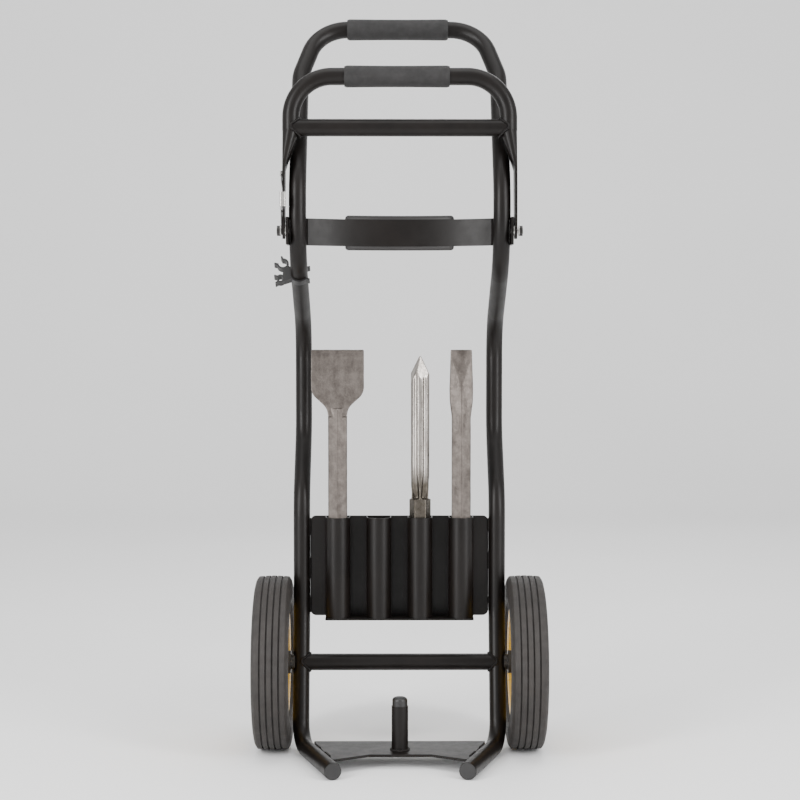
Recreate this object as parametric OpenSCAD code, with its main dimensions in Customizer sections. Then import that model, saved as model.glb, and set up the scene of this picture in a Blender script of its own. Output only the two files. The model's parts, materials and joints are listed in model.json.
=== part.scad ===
// Two-wheel hammer truck: bent-tube frame, folding front bail, tool holder with three hex steels.
// Millimetres. +Z up, +X to the right, -Y is the loading side. The origin lies on the floor,
// in the middle of the footprint.

/* [Tubes] */
// Outer diameter of the frame and bail tube
tube_d = 25.4; // [22:0.1:26]
// Wall of the frame and bail tube
tube_wall = 1.8; // [1.2:0.1:2.5]
// Distance between the two rails' centre lines
rail_gauge = 298.6; // [290:0.1:310]
// Bend radius of the rails' lower bends
rail_bend_r = 80; // [50:1:90]
// Bend radius where the rails turn forward of the hammer's body, at the bail pivot
pivot_bend_r = 110; // [90:1:120]
// Bend radius of the handle corners
corner_bend_r = 60; // [45:1:70]

/* [Bail] */
// How far the bail leans back at rest, in degrees
bail_lean = 6.2; // [4:0.1:8]
// Distance from the pivot to the bail's top tube
bail_len = 228; // [215:1:250]
// Distance from the pivot to the bail's cross tube
bail_cross_len = 152; // [145:1:165]
// Distance between the bail legs' centre lines
bail_gauge = 318.6; // [318:0.1:322]
// Thickness of the flattened arms
arm_t = 3.6; // [3:0.1:4]

/* [Grips] */
// Outer diameter of the grip sleeves
grip_d = 32; // [30:0.5:34]
// Length of the grip sleeves
grip_len = 155; // [120:1:170]

/* [Wheels] */
// Outer diameter of the tyres
wheel_d = 263; // [250:1:264]
// Width of the tyres
tyre_w = 54.6; // [45:0.1:56]
// Overall width over the tyres
wheel_span = 437.2; // [430:0.1:440]
// Diameter of the rim that the tyre sits on
rim_d = 176; // [160:1:190]
// Diameter of the wheel hubs
hub_d = 35; // [32:1:40]
// Diameter of the axle
axle_d = 15.88; // [15:0.01:16]

/* [Nose plate and post] */
// Thickness of the nose plate
plate_t = 4; // [3:0.5:5]
// Height of the nose plate's upper face
plate_top_z = 22; // [20:0.5:23]
// Diameter of the post
post_d = 24.5; // [22:0.1:28]
// Height of the post's full-diameter part above the plate
post_h = 65; // [55:1:75]

/* [Tool holder] */
// Distance between neighbouring pockets
pocket_pitch = 62.5; // [60:0.5:64]
// Inner radius of a pocket's round front
pocket_r = 17.3; // [17:0.1:18.5]
// Depth of a pocket's straight sides, in front of the back plate
pocket_side = 20; // [19:0.5:24]
// Height of the holder
holder_h = 153.4; // [140:1:160]
// Thickness of the holder's front sheet
sheet_t = 1.5; // [1.2:0.1:2]
// Thickness of the holder's back plate
back_t = 3; // [2:0.5:4]

/* [Steels] */
// Width across flats of the hexagonal steels
hex_af = 28.6; // [27:0.1:28.8]
// Width of the scaling chisel's blade
blade_w = 80; // [60:1:84]

/* [Strap] */
// Height of the flat back strap
strap_h = 40; // [35:1:45]
// Thickness of the flat back strap
strap_t = 3.6; // [3:0.1:4]
// How far the strap bows to the rear between the rails
strap_bow = 38; // [25:1:45]
// Length of the pad along the strap
pad_len = 163; // [140:1:170]
// Height of the pad
pad_h = 52; // [48:1:60]
// Thickness of the pad
pad_t = 14; // [10:1:16]

/* [Hidden] */

$fn = 64;
eps = 0.01;

steel_black = [0.16, 0.15, 0.145];
rubber_grey = [0.27, 0.26, 0.26];
forged = [0.55, 0.51, 0.48];
bright_steel = [0.75, 0.74, 0.72];
rim_yellow = [0.86, 0.66, 0.12];

tube_r = tube_d / 2;
rail_x = rail_gauge / 2;
rail_out_x = rail_x + tube_r;
rear_grip_x = -2.5;
bail_grip_x = -4;
weld_gap = 0.05;
snug = 0.05;
overrun = 1;
bend_lap = 0.4;
run_swell = 0.02;

// Side profile of a rail. The lower rails stand in the plane rail_y.
rail_y = 53.75;
foot_tip = [96, rail_y - 215, tube_r];
heel = [rail_x, rail_y - 48, tube_r];
knee = [rail_x, rail_y, 205];
lower_waist = [rail_x, rail_y, 381];
upper_waist = [rail_x, rail_y + 78, 482];
chest = [rail_x, rail_y + 78, 640];
shoulder = [rail_x, rail_y - 150, 775];
lean_back = 0.591;
neck_z = 1022;
neck = [rail_x, shoulder.y + lean_back * (neck_z - shoulder.z), neck_z];
handle_z = 1098;
corner_x = 122.3;
handle_corner = [corner_x, shoulder.y + lean_back * (handle_z - shoulder.z), handle_z];
heel_bend_r = 45;

right_rail = [
    [foot_tip, 0], [heel, heel_bend_r], [knee, rail_bend_r], [lower_waist, rail_bend_r],
    [upper_waist, rail_bend_r], [chest, rail_bend_r], [shoulder, pivot_bend_r],
    [neck, corner_bend_r], [handle_corner, corner_bend_r]
];
frame_path = concat(right_rail, mirrored_back(right_rail));

// Bail pivot, on the strap's ears at the shoulder
pivot_y = rail_y - 113.5;
pivot_z = 783;
pivot_r = 4;
pivot_clear = 0.06;
arm_in_x = 167.2;
arm_out_x = arm_in_x + arm_t;
arm_tip_r = 12;
arm_w = 34;
arm_shoulder_z = 60;
taper_z = 92;
leg_z = 148;
leg_x = bail_gauge / 2;
washer_t = 1.2;
washer_r = 8;
nut_af = 13;
nut_h = 4.8;
stud_end_x = 179.5;
ear_in_x = rail_out_x + 2 * snug;
ear_out_x = ear_in_x + strap_t;
inner_washer_x = ear_out_x + snug;
lanyard_gap = 2.2;

// Axle and wheels
axle_r = axle_d / 2;
axle_clear = 0.06;
axle_z = wheel_d / 2;
axle_y = heel.y + (knee.y - heel.y) * (axle_z - heel.z) / (knee.z - heel.z);
tyre_out_x = wheel_span / 2;
tyre_mid_x = tyre_out_x - tyre_w / 2;
hub_in_x = 165.4;
hub_out_x = 206;
bush_r = 10.5;
bush_len = 14;
cap_out_x = 214;
axle_end_x = 212;
axle_washer_t = 1.8;
axle_washer_r = 13;
wheel_play = 0.4;
cap_in_x = hub_out_x + wheel_play + axle_washer_t + snug;
rim_t = 2;
rim_bead_r = rim_d / 2;

// Holder
holder_z = 200.5;
holder_w = 272.8;
back_front_y = rail_y - back_t / 2;
pocket_x = [for (i = [0:3]) (i - 1.5) * pocket_pitch];
floor_t = 2.5;
floor_z = holder_z - 1.7;
lobe_r = pocket_r + sheet_t;

// Steels
hex_r = hex_af / 2 / cos(30);
steel_y = back_front_y - 18.6;
steel_z = floor_z + floor_t + 0.3;
steel_len = 406.6;
shank_len = 318;
notch_z = 95;
notch_h = 40;

// Vector helpers
function unit(v) = v / norm(v);
function mirrored_back(path) = [
    for (i = [len(path) - 1:-1:0]) [[-path[i][0].x, path[i][0].y, path[i][0].z], path[i][1]]
];
function turn(a, b, c) = acos(unit(b - a) * unit(c - b));
function setback(path, i) =
    path[i][1] == 0 ? 0 : path[i][1] * tan(turn(path[i - 1][0], path[i][0], path[i + 1][0]) / 2);

// Places children with their X, Y and Z axes along x, y and z and their origin at p.
module oriented(x, y, z, p) {
    multmatrix([
        [x.x, y.x, z.x, p.x],
        [x.y, y.y, z.y, p.y],
        [x.z, y.z, z.z, p.z],
        [0, 0, 0, 1]
    ]) children();
}

// Turns children so that their Z axis runs along direction d, starting at p.
module along(p, d) {
    side = unit(abs(d.z) < 0.9 ? cross([0, 0, 1], d) : cross([1, 0, 0], d));
    oriented(side, cross(d, side), d, p) children();
}

// Straight rod between two points.
module rod(a, b, r) {
    along(a, unit(b - a)) cylinder(h = norm(b - a), r = r);
}

// Tube along straight runs joined by round bends. path is [[point, radius], ...]. Each run laps a
// little over the bends at its ends and its wall is a hair thicker, so that the joints are clean.
module bent_tube(path) {
    for (i = [0:len(path) - 2]) {
        a = path[i][0];
        b = path[i + 1][0];
        d = unit(b - a);
        start = a + d * setback(path, i);
        run = norm(b - a) - setback(path, i) - (i + 2 < len(path) ? setback(path, i + 1) : 0);
        lap_a = i == 0 ? 0 : bend_lap;
        lap_b = i + 2 == len(path) ? 0 : bend_lap;
        along(start - d * lap_a, d) linear_extrude(run + lap_a + lap_b) tube_section(run_swell);
    }
    for (i = [1:len(path) - 2]) {
        a = path[i - 1][0];
        b = path[i][0];
        c = path[i + 1][0];
        r = path[i][1];
        u = unit(b - a);
        v = unit(c - b);
        n = unit(v - (u * v) * u);
        start = b - u * setback(path, i);
        oriented(-n, u, cross(-n, u), start + r * n)
            rotate_extrude(angle = turn(a, b, c)) translate([r, 0]) tube_section();
    }
}

module tube_section(swell = 0) {
    difference() {
        circle(tube_r + swell);
        circle(tube_r - tube_wall - swell);
    }
}

// Solid cylinder along X, centred on x.
module x_rod(x0, x1, r) {
    translate([x0, 0, 0]) rotate([0, 90, 0]) cylinder(h = x1 - x0, r = r);
}

module at_axle() {
    translate([0, axle_y, axle_z]) children();
}

module at_pivot() {
    translate([0, pivot_y, pivot_z]) children();
}

// Bail coordinates: origin on the pivot axis, +Z up the legs.
module in_bail() {
    at_pivot() rotate([-bail_lean, 0, 0]) children();
}

module both_sides() {
    children();
    mirror([1, 0, 0]) children();
}

module rounded_rect(w, h, r) {
    square([w - 2 * r, h], center = true);
    square([w, h - 2 * r], center = true);
    for (sx = [-1, 1], sy = [-1, 1])
        translate([sx * (w / 2 - r), sy * (h / 2 - r)]) circle(r);
}

// ---- frame body ----

module main_frame() {
    color(steel_black) difference() {
        bent_tube(frame_path);
        at_axle() x_rod(-rail_out_x - overrun, rail_out_x + overrun, axle_r + axle_clear);
    }
}

module grip_sleeve(len, bore_r) {
    end_r = 3;
    rotate([0, 90, 0]) rotate_extrude() difference() {
        translate([grip_d / 4, 0]) rounded_rect(grip_d / 2, len, end_r);
        translate([0, -len / 2 - overrun]) square([bore_r, len + 2 * overrun]);
    }
}

module rear_grip() {
    color(rubber_grey) translate([rear_grip_x, handle_corner.y, handle_z])
        grip_sleeve(grip_len, tube_r + snug);
}

module axle_tube() {
    color(steel_black) difference() {
        at_axle() x_rod(-rail_x, rail_x, tube_r);
        at_axle() x_rod(-rail_x - overrun, rail_x + overrun, tube_r - tube_wall);
        both_sides() rod(heel, knee, tube_r + weld_gap);
    }
}

module axle() {
    color(bright_steel) at_axle() x_rod(-axle_end_x, axle_end_x, axle_r);
}

module axle_ring(x0, x1, r) {
    both_sides() at_axle() difference() {
        x_rod(x0, x1, r);
        x_rod(x0 - overrun, x1 + overrun, axle_r + snug);
    }
}

module axle_spacers() {
    spacer_r = 12;
    saddle_depth = 3;
    color(bright_steel) difference() {
        axle_ring(rail_out_x - saddle_depth, hub_in_x - wheel_play, spacer_r);
        both_sides() rod(heel, knee, tube_r + weld_gap);
    }
}

module axle_washers() {
    washer_x = hub_out_x + wheel_play;
    color(bright_steel) axle_ring(washer_x, washer_x + axle_washer_t, axle_washer_r);
}

module axle_caps() {
    edge_r = 2;
    len = cap_out_x - cap_in_x;
    color(steel_black) both_sides() at_axle() difference() {
        rotate([0, 90, 0]) translate([0, 0, cap_in_x]) rotate_extrude() {
            square([axle_washer_r - edge_r, len]);
            square([axle_washer_r, len - edge_r]);
            translate([axle_washer_r - edge_r, len - edge_r]) circle(edge_r);
        }
        x_rod(hub_out_x, axle_end_x + snug, axle_r + snug);
    }
}

module base_plate() {
    rear_y = rail_y - 71;
    front_y = rail_y - 155;
    horn_y = rail_y - 186;
    horn_x = 99;
    notch_x = 46;
    rear_x = 128;
    color(steel_black) difference() {
        translate([0, 0, plate_top_z - plate_t]) linear_extrude(plate_t) polygon([
            [-rear_x, rear_y], [-horn_x, horn_y], [-notch_x, front_y],
            [notch_x, front_y], [horn_x, horn_y], [rear_x, rear_y]
        ]);
        both_sides() rod(foot_tip, heel, tube_r + weld_gap);
        both_sides() rod(heel, knee, tube_r + weld_gap);
    }
}

post_y = rail_y - 125;
post_wall = 3;
stem_len = 18;

module hammer_post() {
    color(steel_black) translate([0, post_y, plate_top_z]) difference() {
        cylinder(h = post_h, d = post_d);
        translate([0, 0, post_h - stem_len - overrun])
            cylinder(h = stem_len + 2 * overrun, r = post_d / 2 - post_wall);
    }
}

module post_cap() {
    stem_r = post_d / 2 - post_wall - snug;
    cap_r = 11.3;
    cap_h = 13;
    round_r = 5;
    color(steel_black) translate([0, post_y, plate_top_z + post_h]) {
        translate([0, 0, -stem_len]) cylinder(h = stem_len, r = stem_r);
        rotate_extrude() {
            square([cap_r, cap_h - round_r]);
            square([cap_r - round_r, cap_h]);
            intersection() {
                translate([cap_r - round_r, cap_h - round_r]) circle(round_r);
                square([cap_r, cap_h]);
            }
        }
    }
}

module foot_plugs() {
    flange_t = 2;
    flange_r = tube_r - 0.4;
    stem = 16;
    d = unit(foot_tip - heel);
    color(steel_black) both_sides() {
        along(foot_tip, d) cylinder(h = flange_t, r = flange_r);
        along(foot_tip - d * stem, d) cylinder(h = stem, r = tube_r - tube_wall - snug);
    }
}

module holder_back() {
    corner_r = 9;
    color(steel_black) translate([0, rail_y, holder_z + holder_h / 2])
        rotate([90, 0, 0]) linear_extrude(back_t, center = true)
            rounded_rect(holder_w, holder_h, corner_r);
}

// Outline of one pocket, opening to the back plate at y = 0.
module pocket_outline(r) {
    translate([-r, -pocket_side]) square([2 * r, pocket_side]);
    translate([0, -pocket_side]) circle(r);
}

module holder_front() {
    sheet_z = floor_z + floor_t;
    color(steel_black) translate([0, back_front_y, sheet_z]) linear_extrude(holder_z + holder_h - sheet_z)
        difference() {
            union() {
                for (x = pocket_x) translate([x, 0]) pocket_outline(lobe_r);
                translate([pocket_x[0], -sheet_t]) square([pocket_x[3] - pocket_x[0], sheet_t]);
            }
            for (x = pocket_x) translate([x, 0]) {
                pocket_outline(pocket_r);
                translate([-pocket_r, -eps]) square([2 * pocket_r, overrun]);
            }
        }
}

module holder_floor() {
    corner_r = 4;
    reach = pocket_side + lobe_r;
    half = pocket_x[3] + lobe_r;
    color(steel_black) translate([0, back_front_y, floor_z]) linear_extrude(floor_t) {
        translate([-half, corner_r - reach]) square([2 * half, reach - corner_r]);
        translate([corner_r - half, -reach]) square([2 * (half - corner_r), reach]);
        for (side = [-1, 1]) translate([side * (half - corner_r), corner_r - reach]) circle(corner_r);
    }
}

// Centre line of the strap: behind both rails, bowed to the rear between them.
strap_clear = 18.6;
strap_y = pivot_y + tube_r + strap_clear + strap_t / 2;
bow_half_x = rail_x - tube_r;
bow_r = (bow_half_x * bow_half_x + strap_bow * strap_bow) / (2 * strap_bow);
bow_y = strap_y + strap_bow - bow_r;
bow_angle = asin(bow_half_x / bow_r);

// Part of a ring about [0, bow_y], as wide as a chord of half-angle half.
module bow_sector(r_in, r_out, half) {
    reach = r_out * 1.5;
    translate([0, bow_y]) intersection() {
        difference() {
            circle(r_out, $fn = 96);
            circle(r_in, $fn = 96);
        }
        polygon([[0, 0], [-reach * sin(half), reach * cos(half)], [reach * sin(half), reach * cos(half)]]);
    }
}

module strap_outline() {
    ear_front_y = pivot_y - 9;
    lap = 1.5;
    bow_sector(bow_r - strap_t / 2, bow_r + strap_t / 2, bow_angle);
    both_sides() {
        translate([bow_half_x - lap, strap_y - strap_t / 2])
            square([ear_in_x - bow_half_x + lap, strap_t]);
        translate([ear_in_x, ear_front_y])
            square([strap_t, strap_y - strap_t / 2 - ear_front_y]);
        intersection() {
            translate([ear_in_x, strap_y - strap_t / 2]) circle(strap_t);
            translate([ear_in_x, strap_y - strap_t / 2]) square(strap_t);
        }
    }
}

module back_strap() {
    color(steel_black) difference() {
        translate([0, 0, pivot_z - strap_h / 2]) linear_extrude(strap_h) strap_outline();
        both_sides() at_pivot() x_rod(ear_in_x - overrun, ear_out_x + overrun, pivot_r + snug);
    }
}

module strap_pad() {
    pad_angle = pad_len / 2 / bow_r * 180 / PI;
    color(rubber_grey) difference() {
        translate([0, 0, pivot_z - pad_h / 2]) linear_extrude(pad_h)
            bow_sector(bow_r - pad_t / 2, bow_r + pad_t / 2, pad_angle);
        translate([0, 0, pivot_z - strap_h / 2]) linear_extrude(strap_h)
            bow_sector(bow_r - strap_t / 2, bow_r + strap_t / 2, bow_angle);
    }
}

module pivot_studs() {
    color(bright_steel) both_sides() at_pivot() x_rod(rail_out_x + snug, stud_end_x, pivot_r);
}

module pivot_ring(x0, r) {
    at_pivot() difference() {
        x_rod(x0, x0 + washer_t, r);
        x_rod(x0 - overrun, x0 + washer_t + overrun, pivot_r + snug);
    }
}

outer_washer_x = arm_out_x + lanyard_gap;

module pivot_washers() {
    color(bright_steel) both_sides() {
        pivot_ring(inner_washer_x, washer_r);
        pivot_ring(outer_washer_x, washer_r);
    }
}

module pivot_nuts() {
    nut_x = outer_washer_x + washer_t;
    color(steel_black) both_sides() at_pivot() difference() {
        translate([nut_x, 0, 0]) rotate([0, 90, 0])
            cylinder(h = nut_h, r = nut_af / 2 / cos(30), $fn = 6);
        x_rod(nut_x - overrun, nut_x + nut_h + overrun, pivot_r + snug);
    }
}

// ---- cable clip on the left rail's incline ----

clip_t = 2.6;
clip_w = 11;
clip_ring_r = tube_r + snug;
clip_up = 158;
finger_len = 4.4;
finger_flare = 24;
clip_mouth = 42;
upper_jaw = [-24.7, 16.5];
upper_jaw_r = 6.3;
lower_jaw = [-27.6, -9.5];
lower_jaw_r = 4.2;

// Round jaw of inner radius r with its mouth towards angle aim.
module jaw(r, aim, mouth) {
    reach = 3 * r;
    bead_r = clip_t / 2 + snug;
    difference() {
        circle(r + clip_t);
        circle(r);
        polygon([
            [0, 0], reach * [cos(aim - mouth), sin(aim - mouth)],
            reach * 1.5 * [cos(aim), sin(aim)], reach * [cos(aim + mouth), sin(aim + mouth)]
        ]);
    }
    for (s = [-1, 1]) rotate(aim + s * mouth) translate([r + clip_t / 2, 0]) {
        circle(bead_r);
        rotate(-s * finger_flare) {
            translate([0, -clip_t / 2]) square([finger_len, clip_t]);
            translate([finger_len, 0]) circle(bead_r);
        }
    }
}

module cable_clip() {
    u = unit(shoulder - chest);
    at = [-rail_x, chest.y, chest.z] + clip_up * [0, u.y, u.z];
    web = [[-12, 10], [-18, 13], [-24, 8], [-24.5, -3], [-22, -14], [-11, -10]];
    color(steel_black) oriented([1, 0, 0], [0, u.z, -u.y], [0, u.y, u.z], at)
        linear_extrude(clip_w, center = true) {
            jaw(clip_ring_r, 0, clip_mouth);
            difference() {
                polygon(web);
                circle(clip_ring_r);
                translate(upper_jaw) circle(upper_jaw_r);
                translate(lower_jaw) circle(lower_jaw_r);
            }
            translate(upper_jaw) jaw(upper_jaw_r, 140, 48);
            translate(lower_jaw) jaw(lower_jaw_r, 190, 50);
        }
}

// ---- bail body ----

bail_path = [
    [[leg_x, 0, leg_z], 0], [[leg_x, 0, bail_len], corner_bend_r],
    [[-leg_x, 0, bail_len], corner_bend_r], [[-leg_x, 0, leg_z], 0]
];

// Flattened lower end of the right leg: a plate that swells into the round tube.
module bail_arm() {
    translate([arm_in_x, 0, 0]) rotate([90, 0, 90]) linear_extrude(arm_t) {
        circle(arm_tip_r);
        polygon([
            [-arm_tip_r, 0], [arm_tip_r, 0], [arm_w / 2, arm_shoulder_z], [arm_w / 2, taper_z],
            [-arm_w / 2, taper_z], [-arm_w / 2, arm_shoulder_z]
        ]);
    }
    lap = 1;
    hull() {
        translate([arm_in_x + snug, snug - arm_w / 2, taper_z - lap])
            cube([arm_t - 2 * snug, arm_w - 2 * snug, lap]);
        translate([leg_x, 0, leg_z]) cylinder(h = lap, r = tube_r - 0.3, $fn = 32);
    }
}

module bail_tube() {
    color(steel_black) in_bail() difference() {
        union() {
            bent_tube(bail_path);
            both_sides() bail_arm();
        }
        x_rod(-arm_out_x - overrun, arm_out_x + overrun, pivot_r + pivot_clear);
    }
}

module bail_cross_tube() {
    color(steel_black) in_bail() difference() {
        translate([0, 0, bail_cross_len]) x_rod(-leg_x, leg_x, tube_r);
        translate([0, 0, bail_cross_len]) x_rod(-leg_x - overrun, leg_x + overrun, tube_r - tube_wall);
        both_sides() translate([leg_x, 0, bail_cross_len - 2 * tube_r])
            cylinder(h = 4 * tube_r, r = tube_r + weld_gap);
    }
}

module bail_grip() {
    color(rubber_grey) in_bail() translate([bail_grip_x, 0, bail_len]) grip_sleeve(grip_len, tube_r + snug);
}

cable_r = 0.8;
cable_sides = 8;
eye_r = 5.4;
eye_x = -(arm_out_x + cable_r + 3 * snug);
ferrule_at = [-169.5, -22.5, 32];
ferrule_h = 21;
ferrule_w = 9;
ferrule_t = 4.4;
rivet_at = [eye_x, -12, 82];
rivet_r = 2;
rivet_eye_r = rivet_r + 1.2;

// Points on an arc in the plane x = c.x, with angles counted from +Y towards +Z.
function eye_points(c, r, a0, a1, n) = [
    for (i = [0:n]) let (a = a0 + (a1 - a0) * i / n) c + [0, r * cos(a), r * sin(a)]
];
function ring_points(p, d) = let (s = unit(cross(d, [1, 0, 0])), o = cross(d, s)) [
    for (k = [0:cable_sides - 1])
        let (a = 360 * k / cable_sides) p + cable_r * (cos(a) * s + sin(a) * o)
];

// Thin round cable along points, one ring of corners at each.
module cable(points) {
    last = len(points) - 1;
    rings = [
        for (i = [0:last])
            ring_points(points[i], unit(points[min(i + 1, last)] - points[max(i - 1, 0)]))
    ];
    sides = [
        for (i = [0:last - 1], k = [0:cable_sides - 1]) let (
            m = (k + 1) % cable_sides, low = i * cable_sides, high = low + cable_sides
        ) [low + k, low + m, high + m, high + k]
    ];
    polyhedron(
        points = [for (ring = rings) each ring],
        faces = concat(
            [[for (k = [cable_sides - 1:-1:0]) k]], sides,
            [[for (k = [0:cable_sides - 1]) last * cable_sides + k]]
        )
    );
}

module lanyard_cable() {
    strand = (ferrule_w - ferrule_t) / 2;
    color(steel_black) in_bail() {
        cable(concat(
            [ferrule_at + [-strand, 0, 0], [eye_x, -19.5, 24], [eye_x, -13, 9]],
            eye_points([eye_x, 0, 0], eye_r, 195, 415, 11),
            [[eye_x, -5.5, 12], [eye_x, -17.2, 24], ferrule_at + [strand, 0, 0]]
        ));
        cable(concat(
            [ferrule_at + [0, 0, ferrule_h], [-170.5, -21.8, 62], [eye_x, -19.5, 72]],
            eye_points(rivet_at, rivet_eye_r, 200, 500, 10)
        ));
    }
}

module lanyard_ferrule() {
    side = (ferrule_w - ferrule_t) / 2;
    color(bright_steel) in_bail() translate(ferrule_at) linear_extrude(ferrule_h) {
        for (s = [-1, 1]) translate([s * side, 0]) circle(ferrule_t / 2);
        square([2 * side, ferrule_t], center = true);
    }
}

module lanyard_rivet() {
    head_r = 4.2;
    head_t = 0.9;
    color(bright_steel) in_bail() translate([-arm_out_x, rivet_at.y, rivet_at.z]) rotate([0, -90, 0]) {
        cylinder(h = lanyard_gap, r = rivet_r);
        translate([0, 0, lanyard_gap]) cylinder(h = head_t, r = head_r);
    }
}

// ---- wheels ----

// Wheel section: x is the radius, y the place across the tyre, zero at its middle.
module tyre_outline() {
    shoulder_r = 9;
    crown_r = wheel_d / 2;
    bead_r = 8;
    rib_n = 5;
    groove_w = 2.2;
    groove_d = 3;
    crown_w = 44;
    rib_pitch = 9.3;
    half = tyre_w / 2;
    difference() {
        union() {
            translate([rim_bead_r, bead_r / 2 - half])
                square([crown_r - groove_d - rim_bead_r, tyre_w - bead_r]);
            translate([rim_bead_r + bead_r, -half])
                square([crown_r - rim_bead_r - bead_r - shoulder_r, tyre_w]);
            translate([crown_r - groove_d - eps, -crown_w / 2]) square([groove_d + eps, crown_w]);
            for (s = [-1, 1]) {
                translate([crown_r - shoulder_r - 2, s * (half - shoulder_r)]) circle(shoulder_r);
                translate([rim_bead_r + bead_r, s * (half - bead_r)]) circle(bead_r);
            }
        }
        for (i = [1:rib_n - 1])
            translate([crown_r - groove_d, (i - rib_n / 2) * rib_pitch - groove_w / 2])
                square([groove_d + overrun, groove_w]);
        translate([0, -tyre_w]) square([rim_bead_r, 2 * tyre_w]);
    }
}

module rim_outline() {
    disc_r = rim_bead_r - rim_t;
    seat_w = tyre_w - 14;
    lip_h = 6;
    disc_at = 9;
    translate([disc_r, -seat_w / 2]) square([rim_t, seat_w]);
    for (s = [-1, 1]) translate([disc_r - lip_h + rim_t, s * (seat_w / 2) - rim_t / 2])
        square([lip_h, rim_t]);
    for (s = [-1, 1]) translate([hub_d / 2, s * disc_at - rim_t / 2])
        square([disc_r - hub_d / 2 + eps, rim_t]);
}

module wheel_part(side) {
    at_axle() translate([side * tyre_mid_x, 0, 0]) rotate([0, 90 * side, 0]) rotate_extrude($fn = 128)
        children();
}

module hub_outline() {
    inner = hub_in_x - tyre_mid_x;
    outer = hub_out_x - tyre_mid_x;
    translate([bush_r, inner]) square([hub_d / 2 - bush_r, outer - inner]);
}

module bushing_outline() {
    inner = hub_in_x - tyre_mid_x;
    outer = hub_out_x - tyre_mid_x;
    bore = axle_r + axle_clear;
    for (y = [inner, outer - bush_len]) translate([bore, y]) square([bush_r - bore, bush_len]);
}

module tyre(side) {
    color(rubber_grey) wheel_part(side) tyre_outline();
}

module rim(side) {
    color(rim_yellow) wheel_part(side) rim_outline();
}

module hub(side) {
    color(steel_black) wheel_part(side) hub_outline();
}

module bushings(side) {
    color(bright_steel) wheel_part(side) bushing_outline();
}

// ---- steels ----

module steel_at(i) {
    translate([pocket_x[i], steel_y, steel_z]) children();
}

// Hexagonal shank with a retaining notch on one side. turned puts a corner to the front.
module shank(len, turned) {
    difference() {
        rotate(turned ? 90 : 0) cylinder(h = len, r = hex_r, $fn = 6);
        translate([0, hex_r + 4, notch_z + notch_h / 2]) rotate([0, 90, 0])
            cylinder(h = 2 * hex_r, r = notch_h / 4, center = true);
    }
}

// Points on a flat arc about c.
function arc(c, r, a0, a1, n) = [
    for (i = [0:n]) c + r * [cos(a0 + (a1 - a0) * i / n), sin(a0 + (a1 - a0) * i / n)]
];

module scaling_chisel() {
    swell_r = 22;
    fillet_r = 25;
    sweep = 48;
    half = blade_w / 2;
    side = concat(
        [[half - 1, steel_len], [half, steel_len - 1]],
        arc([half - swell_r, 350], swell_r, 0, -sweep, 8),
        arc([hex_af / 2 + fillet_r, 306], fillet_r, 180 - sweep, 180, 8)
    );
    other = [for (i = [len(side) - 1:-1:0]) [-side[i].x, side[i].y]];
    color(forged) steel_at(0) {
        shank(shank_len, true);
        intersection() {
            rotate([90, 0, 0]) linear_extrude(60, center = true) polygon(concat(side, other));
            rotate([90, 0, 90]) linear_extrude(2 * blade_w, center = true) polygon([
                [-16.5, 290], [-8, 332], [-5.5, steel_len - 9], [1, steel_len],
                [2.5, steel_len], [5.5, steel_len - 16], [8, 332], [16.5, 290]
            ]);
        }
    }
}

module bull_point() {
    point_z = 397;
    base_z = 357.5;
    flute_r = 5.5;
    flute_at = 18;
    flute_z = 216;
    runout = 9;
    tip = 1.2;
    color(bright_steel) steel_at(2) intersection() {
        difference() {
            shank(point_z, false);
            for (i = [0:5]) rotate(60 * i) translate([flute_at, 0, flute_z]) {
                cylinder(h = point_z, r = flute_r, $fn = 32);
                rotate([0, -180 + runout, 0]) translate([0, 0, -4]) cylinder(h = 40, r = flute_r, $fn = 32);
            }
        }
        for_two_sides() rotate([90, 0, 0]) linear_extrude(4 * hex_r, center = true) polygon([
            [-hex_r - 2, -1], [hex_r + 2, -1], [hex_r + 2, base_z - 8], [tip, point_z],
            [-tip, point_z], [-hex_r - 2, base_z - 8]
        ]);
    }
}

// Intersects a profile prism with itself turned by a right angle, to cut a four-sided point.
module for_two_sides() {
    rotate(24) intersection() {
        children();
        rotate(90) children();
    }
}

// Flat-sided section of a forged blade: w and t are its half-widths, edge its half-thickness at
// the sides, z its height.
module forged_section(w, t, edge, z) {
    translate([0, 0, z]) linear_extrude(0.1)
        polygon([[-w, -edge], [0, -t], [w, -edge], [w, edge], [0, t], [-w, edge]]);
}

module narrow_chisel() {
    neck_half = hex_af / 2;
    color(forged) steel_at(3) {
        shank(shank_len - 12, true);
        hull() {
            forged_section(neck_half, hex_r, hex_r / 2, shank_len - 13);
            forged_section(17.4, 14.5, 7, shank_len + 10);
        }
        hull() {
            forged_section(17.4, 14.5, 7, shank_len + 10);
            forged_section(17.8, 12, 5.5, shank_len + 30);
        }
        hull() {
            forged_section(17.8, 12, 5.5, shank_len + 30);
            forged_section(16.3, 4.5, 2.5, steel_len - 9);
        }
        hull() {
            forged_section(16.3, 4.5, 2.5, steel_len - 9);
            forged_section(16.4, 0.8, 0.7, steel_len - 0.1);
        }
    }
}

main_frame();
rear_grip();
axle_tube();
axle();
axle_spacers();
axle_washers();
axle_caps();
base_plate();
hammer_post();
post_cap();
foot_plugs();
holder_back();
holder_front();
holder_floor();
back_strap();
strap_pad();
pivot_studs();
pivot_washers();
pivot_nuts();
cable_clip();
bail_tube();
bail_cross_tube();
bail_grip();
lanyard_cable();
lanyard_ferrule();
lanyard_rivet();
tyre(-1);  // tyre_left
rim(-1);  // rim_left
hub(-1);  // hub_left
bushings(-1);  // bushings_left
tyre(1);  // tyre_right
rim(1);  // rim_right
hub(1);  // hub_right
bushings(1);  // bushings_right
scaling_chisel();
bull_point();
narrow_chisel();
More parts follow.
